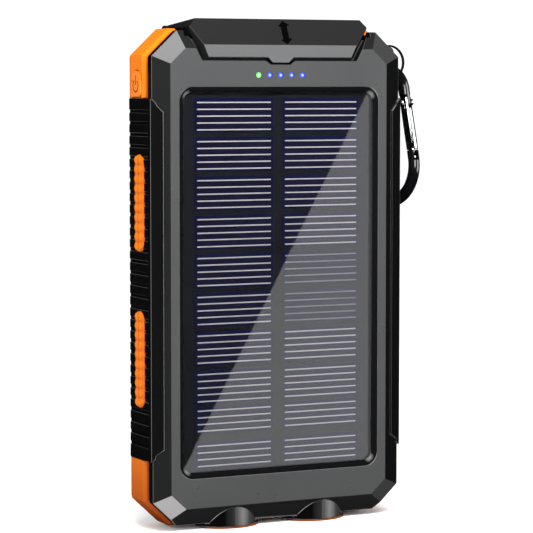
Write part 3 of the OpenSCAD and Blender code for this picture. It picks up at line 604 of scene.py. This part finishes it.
def solar_cells():
    """Each cell is a sheet whose grid marks its blue border and the purple bands between the contacts."""
    strips = islands("cell_contact_strips")
    points, faces, edges, bands = [], [], [], []
    border = 0.8 * MM
    for low, high in islands("solar_cells"):
        mine = sorted(0.5 * (a.z + b.z) for a, b in strips
                      if a.x > low.x - MM and b.x < high.x + MM and a.z > low.z and b.z < high.z)
        # Heights across the cell, each with its share of border blue and of band purple
        levels = [(low.z, 1.0, 0.0), (low.z + 0.35 * border, 1.0, 0.0)]
        for first, second in zip(mine[:-1], mine[1:]):
            gap = second - first
            levels += [(first, 0.0, 0.0), (first + 0.3 * gap, 0.0, 0.8), (first + 0.7 * gap, 0.0, 1.0)]
        levels += [(mine[-1], 0.0, 0.0), (high.z - 0.35 * border, 1.0, 0.0), (high.z, 1.0, 0.0)]
        columns = [(low.x, 1.0), (low.x + 0.6 * border, 1.0), (low.x + 1.1 * border, 0.0),
                   (high.x - 1.1 * border, 0.0), (high.x - 0.6 * border, 1.0), (high.x, 1.0)]
        base = len(points)
        for z, level_edge, level_band in levels:
            for x, column_edge in columns:
                points.append((x, low.y, z))
                edges.append(max(level_edge, column_edge))
                bands.append(level_band * (1.0 - column_edge))
        wide = len(columns)
        for r in range(len(levels) - 1):
            for c in range(wide - 1):
                a = base + r * wide + c
                faces.append((a, a + 1, a + wide + 1, a + wide))
        corner = len(points)
        for x, z in ((low.x, low.z), (high.x, low.z), (high.x, high.z), (low.x, high.z)):
            points.append((x, high.y, z))
            edges.append(1.0)
            bands.append(0.0)
        # The four sides and the back close the sheet into a solid
        top = base + (len(levels) - 1) * wide
        rings = [(range(base, base + wide), corner, corner + 1),
                 (range(base + wide - 1, top + wide, wide), corner + 1, corner + 2),
                 (range(top + wide - 1, top - 1, -1), corner + 2, corner + 3),
                 (range(top, base - 1, -wide), corner + 3, corner)]
        for line, first, last in rings:
            faces.append(tuple(line) + (last, first))
        faces.append((corner + 3, corner + 2, corner + 1, corner))
    mesh = bpy.data.meshes.new("silicon")
    mesh.from_pydata(points, [], faces)
    for name, values in (("edge", edges), ("band", bands)):
        attribute = mesh.attributes.new(name, "FLOAT", "POINT")
        attribute.data.foreach_set("value", values)
    piece = add_object("silicon_sheets", mesh, cell_material(), "case")
    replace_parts(piece, "solar_cells")
    return piece


def dress_window():
    gasket_rim()
    cells = solar_cells()
    silver = metal("contact_silver", (0.84, 0.80, 0.80), 0.38, stretch=(0.05, 1.0, 1.0), metallic=0.0)
    dress("cell_contact_strips", silver)
    dress("solar_backing_board", moulded("backing_grey", (0.026, 0.027, 0.033), 0.5, bump=0.1))
    dress("solar_cover_sheet", clear_sheet("cover_laminate", (0.97, 0.975, 0.99), 1.47, 0.002))
    return cells


# ---- Status lights ----

def light_material(name, core, halo):
    """A lit lens: nearly white in the middle, coloured towards its rim."""
    material, tree, output = new_material(name)
    radius = add(tree, "ShaderNodeAttribute", attribute_name="radial")
    grain = noise(tree, object_coordinates(tree), 1500.0)
    spot = mapped(tree, radius.outputs["Fac"], 1.0, 0.0, 0.25, 0.62)
    colour = mix_colour(tree, spot, rgba(halo), rgba(core))
    shader = add(tree, "ShaderNodeBsdfPrincipled",
                 {"Base Color": rgba(halo), "Roughness": mapped(tree, grain, 0.15, 0.3),
                  "Emission Color": colour, "Emission Strength": 1.0})
    tree.links.new(shader.outputs[0], output.inputs[0])
    return material


def domed_pipe(name, low, high, material):
    """A light pipe: a rod whose visible end is a shallow dome, with each point's distance from its axis."""
    cx, cz = (low.x + high.x) / 2, (low.z + high.z) / 2
    radius = (high.x - low.x) / 2
    # Each ring's radius and its depth behind the tip, as shares of the rod's radius
    rings = [(0.0, 0.0), (0.35, 0.01), (0.6, 0.03), (0.8, 0.06), (0.93, 0.1), (1.0, 0.2)]
    sides = 32
    points, faces, radial = [], [], []
    for share, drop in rings:
        for k in range(sides):
            angle = 2 * math.pi * k / sides
            reach = max(share, 0.001) * radius
            points.append((cx + reach * math.cos(angle), low.y + drop * radius, cz + reach * math.sin(angle)))
            radial.append(share)
    for k in range(sides):
        angle = 2 * math.pi * k / sides
        points.append((cx + radius * math.cos(angle), high.y, cz + radius * math.sin(angle)))
        radial.append(1.0)
    for r in range(len(rings)):
        for k in range(sides):
            a, b = r * sides + k, r * sides + (k + 1) % sides
            faces.append((a, b, b + sides, a + sides))
    faces.append(tuple(range(sides)))
    faces.append(tuple(len(rings) * sides + k for k in range(sides - 1, -1, -1)))
    mesh = bpy.data.meshes.new(name)
    mesh.from_pydata(points, [], faces)
    attribute = mesh.attributes.new("radial", "FLOAT", "POINT")
    attribute.data.foreach_set("value", radial)
    for face in mesh.polygons:
        face.use_smooth = True
    return add_object(name, mesh, material, "case")


def status_lights():
    green = light_material("green_glow", (0.75, 1.0, 0.7), (0.10, 0.72, 0.10))
    blue = light_material("blue_glow", (0.72, 0.85, 1.0), (0.02, 0.055, 0.95))
    low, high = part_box("light_pipe_green")
    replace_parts(domed_pipe("green_lens", low, high, green), "light_pipe_green")
    for i, (low, high) in enumerate(sorted(islands("light_pipes_blue"), key=lambda pair: pair[0].x)):
        lens = domed_pipe("blue_lens_%d" % (i + 1), low, high, blue)
        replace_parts(lens, "light_pipes_blue")


# ---- Grip pads ----

PAD_COLUMNS = 46
PAD_ROWS = 180
KNOB_ROWS = 10
KNOB_PITCH = 2.66 * MM
KNOB_SHIFT = 1.22 * MM
KNOB_HALF_WIDTH = 1.5 * MM
KNOB_HALF_HEIGHT = 1.6 * MM
KNOB_RISE = 0.6 * MM


def pad_grid(centre_y, centre_z, half_z, half_span, x_at):
    """A grid of points over a pad, narrowing and scalloping with its height."""
    points = []
    for r in range(PAD_ROWS + 1):
        z = centre_z - half_z + 2 * half_z * r / PAD_ROWS
        span = half_span(z)
        for c in range(PAD_COLUMNS + 1):
            y = centre_y - span + 2 * span * c / PAD_COLUMNS
            points.append((x_at(y, z), y, z))
    return points


def pad_faces():
    """Faces of the front grid, the back grid and the edges between them."""
    faces = []
    wide = PAD_COLUMNS + 1
    offset = (PAD_ROWS + 1) * wide
    for r in range(PAD_ROWS):
        for c in range(PAD_COLUMNS):
            a = r * wide + c
            faces.append((a, a + 1, a + wide + 1, a + wide))
            faces.append((offset + a, offset + a + wide, offset + a + wide + 1, offset + a + 1))
        for a in (r * wide, r * wide + PAD_COLUMNS):
            faces.append((a, a + wide, offset + a + wide, offset + a))
    for c in range(PAD_COLUMNS):
        for a in (c, PAD_ROWS * wide + c):
            faces.append((a, a + 1, offset + a + 1, offset + a))
    return faces


def grip_pad(side, level, material):
    """A soft orange pad: a domed capsule with a scalloped outline and two columns of knobs."""
    name = "grip_pad_%s_%s" % (side, level)
    low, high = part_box(name)
    way = -1 if side == "left" else 1
    outer = low.x if way < 0 else high.x
    inner = high.x if way < 0 else low.x
    centre_y, centre_z = (low.y + high.y) / 2, (low.z + high.z) / 2
    half_y, half_z = (high.y - low.y) / 2, (high.z - low.z) / 2
    face_height = abs(outer - inner)
    straight = half_z - half_y
    knobs = [(centre_y + c * KNOB_SHIFT, centre_z + (i - (KNOB_ROWS - 1) / 2) * KNOB_PITCH)
             for i in range(KNOB_ROWS) for c in (-1, 1)]

    def past_straight(z):
        return max(abs(z - centre_z) - straight, 0.0)

    def full_span(z):
        return math.sqrt(max(half_y ** 2 - past_straight(z) ** 2, 0.0))

    def half_span(z):
        wave = 0.5 + 0.5 * math.cos(2 * math.pi * (z - centre_z) / KNOB_PITCH + math.pi)
        return full_span(z) * (0.90 + 0.099 * wave)

    def unscalloped(y, z):
        return centre_y + (y - centre_y) * full_span(z) / max(half_span(z), 1e-9)

    def crown(y, z):
        knob = 0.0
        for knob_y, knob_z in knobs:
            gap = math.hypot((y - knob_y) / KNOB_HALF_WIDTH, (z - knob_z) / KNOB_HALF_HEIGHT)
            if gap < 1.0:
                knob = max(knob, 1.0 - gap * gap)
        return knob

    def height(y, z):
        inside = 1.0 - math.hypot(y - centre_y, past_straight(z)) / half_y
        edge = 1.0 - (1.0 - min(max(inside, 0.0) / 0.22, 1.0)) ** 2.4
        domed = face_height * 0.25 + (face_height * 0.75 - KNOB_RISE) * edge
        return domed + KNOB_RISE * crown(y, z) * min(1.0, edge * 1.2)

    points = pad_grid(centre_y, centre_z, half_z, half_span,
                      lambda y, z: inner + way * height(unscalloped(y, z), z))
    points += pad_grid(centre_y, centre_z, half_z, half_span, lambda y, z: inner)
    mesh = mesh_from(name + "_mesh", points, pad_faces())
    crowns = [crown(unscalloped(v.co.y, v.co.z), v.co.z) for v in mesh.vertices]
    mesh.attributes.new("crown", "FLOAT", "POINT").data.foreach_set("value", crowns)
    pad = add_object("knobbed_" + name, mesh, material, "case")
    pad.visible_glossy = False
    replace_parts(pad, name)


def grip_pads():
    material = moulded("pad_orange", PAD_ORANGE, 0.36, bump=0.15, variation=0.06, specular=0.2, tone=pad_tone)
    for side in ("left", "right"):
        for level in ("upper", "lower"):
            grip_pad(side, level, material)


# ---- Power button ----

def flat_plate(name, outlines, origin, across, up, thickness):
    """A thin plate made of closed outlines, lying in the plane of across and up."""
    out = across.cross(up).normalized()
    points, faces = [], []
    for outline in outlines:
        base = len(points)
        count = len(outline)
        for depth in (0.0, thickness):
            for u, v in outline:
                points.append(origin + across * u + up * v + out * depth)
        faces.append(tuple(base + count + i for i in range(count)))
        faces.append(tuple(base + count - 1 - i for i in range(count)))
        for i in range(count):
            j = (i + 1) % count
            faces.append((base + i, base + j, base + count + j, base + count + i))
    return mesh_from(name, points, faces, smooth=False)


def arc_band(radius, width, start, end, pieces=28):
    """Outline of a band along an arc, between two angles in degrees."""
    angles = [math.radians(start + (end - start) * i / pieces) for i in range(pieces + 1)]
    far, near = radius + width / 2, radius - width / 2
    outer = [(far * math.cos(a), far * math.sin(a)) for a in angles]
    inner = [(near * math.cos(a), near * math.sin(a)) for a in reversed(angles)]
    return outer + inner


def power_button():
    """The orange key and the generic power sign printed on it."""
    orange = moulded("button_orange", BUTTON_ORANGE, 0.36, bump=0.1, variation=0.05, coat=0.2)
    round_edges(dress("power_button", orange), 0.3 * MM, segments=3)
    low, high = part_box("power_button")
    centre = Vector((low.x, (low.y + high.y) / 2, low.z + 0.43 * (high.z - low.z)))
    stroke = 0.42 * MM
    radius = 1.7 * MM
    stem_low, stem_high = 0.1 * MM, 2.75 * MM
    ring = arc_band(radius, stroke, 125, 415)
    half = stroke / 2
    stem = [(-half, stem_low), (half, stem_low), (half, stem_high), (-half, stem_high)]
    across, up = Vector((0, -1, 0)), Vector((0, 0, 1))
    sunk = Vector((0.10 * MM, 0, 0))
    sign = flat_plate("power_mark", [ring, stem], centre + sunk, across, up, 0.12 * MM)
    material = moulded("mark_umber", (0.16, 0.035, 0.006), 0.5, variation=0.15)
    add_object("power_mark", sign, material, "button")


# ---- Port cover ----

def port_cover():
    """The folding cover and the generic two-way arrow printed on its leaning face."""
    plastic = moulded("cover_plastic", COVER_GREY, 0.34, specular=0.3, tone=cover_tone)
    round_edges(dress("port_cover", plastic), 0.25 * MM)
    low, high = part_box("port_cover")
    slope_height = 7.3 * MM
    lean = 1.9 * MM / slope_height
    middle = 3.5 * MM
    start = Vector((1.5 * MM, low.y + lean * middle, high.z - slope_height + middle))
    up = Vector((-0.13, lean, 1.0)).normalized()
    across = up.cross(Vector((0, 1, 0))).normalized()
    if across.cross(up).y > 0:
        across = -across
    out = across.cross(up).normalized()
    half, head, stem, wing = 3.35 * MM, 1.5 * MM, 0.95 * MM, 1.95 * MM
    right = [(wing, half - head), (stem, half - head), (stem, head - half), (wing, head - half)]
    left = [(-x, z) for x, z in reversed(right)]
    shape = [(0, half)] + right + [(0, -half)] + left
    mesh = flat_plate("slide_arrow", [shape], start - out * 0.02 * MM, across, up, 0.07 * MM)
    material = moulded("arrow_ink", (0.001, 0.001, 0.001), 0.6, variation=0.2, specular=0.05)
    add_object("slide_arrow", mesh, material, "cover")


# ---- Ring, carabiner and hardware ----

def split_ring():
    """Two turns of wire, stepping across where they overlap."""
    low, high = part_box("split_ring")
    centre = (low + high) / 2
    outer = (high.x - low.x) / 2
    wire = (high.y - low.y) / 4
    slim = 0.98
    radius = outer - wire
    turns = 1.94
    first_angle = math.radians(200)
    pieces = 150
    path = []
    for i in range(pieces + 1):
        share = i / pieces
        angle = first_angle + 2 * math.pi * turns * share
        crossed = 0.5 * math.tanh((share - 0.5) * 14)
        y = centre.y + crossed * 2 * wire * slim
        path.append(Vector((centre.x + radius * math.cos(angle), y, centre.z + radius * math.sin(angle))))
    material = metal("ring_black", (0.02, 0.02, 0.021), 0.2, metallic=0.6)
    mesh = tube("wound_ring", path, wire * slim, sides=14)
    ring = add_object("wound_ring", mesh, material, "ring")
    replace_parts(ring, "split_ring")


def hardware():
    split_ring()
    black = moulded("anodised_black", (0.003, 0.003, 0.0034), 0.14, grain=700.0, bump=0.04, specular=0.7,
                    coat=0.6)
    weld_seams(dress("carabiner_body", black))
    chrome = metal("chrome", (0.86, 0.865, 0.87), 0.07, bump=0.04)
    for name in ("carabiner_gate", "gate_latch", "gate_rivet"):
        weld_seams(dress(name, chrome))
    steel = metal("ground_steel", (0.55, 0.56, 0.58), 0.28)
    for name in ("gate_spring", "lanyard_pin", "cover_hinge_pin", "usb_port_left", "usb_port_right",
                 "charging_port"):
        dress(name, steel)
    round_edges(dress("case_screws", metal("zinc_screw", (0.42, 0.43, 0.45), 0.32)), 0.1 * MM)


# ---- Inner parts ----

def inner_parts():
    dress("main_board", moulded("solder_mask", (0.02, 0.16, 0.06), 0.35))
    black = moulded("moulded_black", (0.02, 0.02, 0.02), 0.45)
    for name in ("switch_body", "charging_tongue", "power_chip", "inductor"):
        dress(name, black)
    white = moulded("moulded_white", (0.75, 0.75, 0.73), 0.4)
    for name in ("switch_plunger", "usb_tongue_left", "usb_tongue_right"):
        dress(name, white)
    foil = metal("pouch_foil", (0.5, 0.52, 0.55), 0.4)
    for name in ("battery_front", "battery_rear", "capacitors"):
        dress(name, foil)
    dress("battery_pad", moulded("foam_black", (0.03, 0.03, 0.03), 0.8, grain=900.0, bump=0.6))
    dress("battery_tape", moulded("amber_tape", (0.5, 0.3, 0.05), 0.3))
    red = moulded("lead_red", (0.45, 0.02, 0.015), 0.45)
    dark = moulded("lead_black", (0.015, 0.015, 0.015), 0.45)
    for name in ("battery_lead_red", "panel_lead_red"):
        dress(name, red)
    for name in ("battery_lead_black", "panel_lead_black"):
        dress(name, dark)
    chip = moulded("led_phosphor", (0.85, 0.72, 0.2), 0.5)
    for name in ("status_led_chips", "torch_leds"):
        dress(name, chip)
    dress("torch_reflectors", metal("reflector_mirror", (0.85, 0.86, 0.87), 0.06, bump=0.02))
    dress("torch_lenses", clear_sheet("torch_clear", (0.93, 0.95, 0.97), 1.5, 0.03))


# ---- Stage, camera and light ----

# A long lens from the front left, slightly above the middle
CAMERA_AT = Vector((-0.30831, -0.62115, 0.12417))
CAMERA_YAW = math.radians(26.415)
CAMERA_PITCH = math.radians(4.273)
LENS = 165.71


def make_camera():
    data = bpy.data.cameras.new("camera")
    data.lens = LENS
    data.sensor_width = 36.0
    data.clip_start = 0.01
    camera = bpy.data.objects.new("camera", data)
    camera.location = CAMERA_AT
    camera.rotation_euler = (math.pi / 2 - CAMERA_PITCH, 0.0, -CAMERA_YAW)
    scene.collection.objects.link(camera)
    scene.camera = camera


def group(name, members):
    """A collection that light linking can name."""
    made = bpy.data.collections.new(name)
    for piece in members:
        made.objects.link(piece)
    return made


def area_light(name, at, target, width, height, power, only=None):
    """A soft box aimed at a point; with only, it shows just as a reflection in those pieces."""
    data = bpy.data.lights.new(name, "AREA")
    data.shape = "RECTANGLE"
    data.size = width
    data.size_y = height
    data.energy = power
    light = bpy.data.objects.new(name, data)
    light.location = at
    light.rotation_euler = (Vector(target) - Vector(at)).to_track_quat("-Z", "Y").to_euler()
    light.visible_camera = False
    scene.collection.objects.link(light)
    if only is not None:
        light.visible_diffuse = False
        light.light_linking.receiver_collection = only
    return light


def glare_light(cells):
    """A soft box mirrored in the glass; its straight edge crosses the window as a diagonal."""
    low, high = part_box("solar_cover_sheet")
    glass_y = low.y
    upper_end = Vector((high.x - 1.6 * MM, glass_y, high.z))
    lower_end = Vector((low.x + 0.6 * MM, glass_y, low.z + 1.5 * MM))
    lit_corner = Vector((high.x, glass_y, low.z))
    mirrored = Vector((CAMERA_AT.x, 2 * glass_y - CAMERA_AT.y, CAMERA_AT.z))
    plane_y = -1.3

    def carried(point):
        """Where the line from the camera's mirror image through a point of the glass meets the soft box."""
        return mirrored + (point - mirrored) * ((plane_y - mirrored.y) / (point.y - mirrored.y))

    edge_a, edge_b, far = carried(upper_end), carried(lower_end), carried(lit_corner)
    along = (edge_b - edge_a).normalized()
    back = Vector((0, -1, 0))
    side = back.cross(along)
    if side.dot(far - edge_a) < 0:
        along = -along
        side = back.cross(along)
    width, height = 1.6, 1.0
    centre = (edge_a + edge_b) / 2 + side * height / 2
    data = bpy.data.lights.new("glass_softbox", "AREA")
    data.shape = "RECTANGLE"
    data.size = width
    data.size_y = height
    data.energy = 7.0
    light = bpy.data.objects.new("glass_softbox", data)
    light.matrix_world = Matrix((
        (along.x, side.x, back.x, centre.x), (along.y, side.y, back.y, centre.y),
        (along.z, side.z, back.z, centre.z), (0, 0, 0, 1)))
    light.visible_camera = False
    scene.collection.objects.link(light)
    light.light_linking.receiver_collection = group("glass_only", [nodes["solar_cover_sheet"], cells])


def make_stage():
    bpy.ops.mesh.primitive_plane_add(size=12.0, location=(0, 0, 0))
    floor = bpy.context.object
    floor.name = "floor"
    material, tree, output = new_material("floor_white")
    speckle = noise(tree, object_coordinates(tree), 40.0)
    shade = mix_colour(tree, speckle, rgba((0.945, 0.945, 0.945)), rgba((0.955, 0.955, 0.955)))
    shader = add(tree, "ShaderNodeBsdfDiffuse", {"Color": shade, "Roughness": 0.6})
    tree.links.new(shader.outputs[0], output.inputs[0])
    floor.data.materials.append(material)
    floor.visible_glossy = False


def make_lights(cells):
    """White surroundings that aren't mirrored, two soft lights, the window's glare and the hook's cards."""
    world = bpy.data.worlds.new("world")
    scene.world = world
    world.use_nodes = True
    background = world.node_tree.nodes["Background"]
    background.inputs["Color"].default_value = (1, 1, 1, 1)
    background.inputs["Strength"].default_value = 1.08
    world.cycles_visibility.glossy = False
    key = area_light("top_key", (-0.05, -0.17, 0.30), (0, 0, 0.11), 0.26, 0.16, 1.7)
    key.visible_glossy = False
    area_light("left_fill", (-0.9, -0.1, 0.3), (0, 0, 0.07), 0.5, 0.7, 1.5)
    glare_light(cells)
    hook_names = ("carabiner_gate", "gate_latch", "gate_rivet", "carabiner_body")
    hook = group("bright_metal", [nodes[name] for name in hook_names])
    hook_at = (0.045, 0, 0.11)
    area_light("metal_card_right", (0.7, -0.5, 0.25), hook_at, 0.6, 0.8, 6.0, only=hook)
    area_light("metal_card_left", (-0.1, -0.9, 0.3), hook_at, 0.4, 0.6, 5.0, only=hook)
    scene.view_settings.view_transform = "Standard"


dress_shells()
window_cells = dress_window()
status_lights()
grip_pads()
power_button()
port_cover()
hardware()
inner_parts()
make_camera()
make_stage()
make_lights(window_cells)
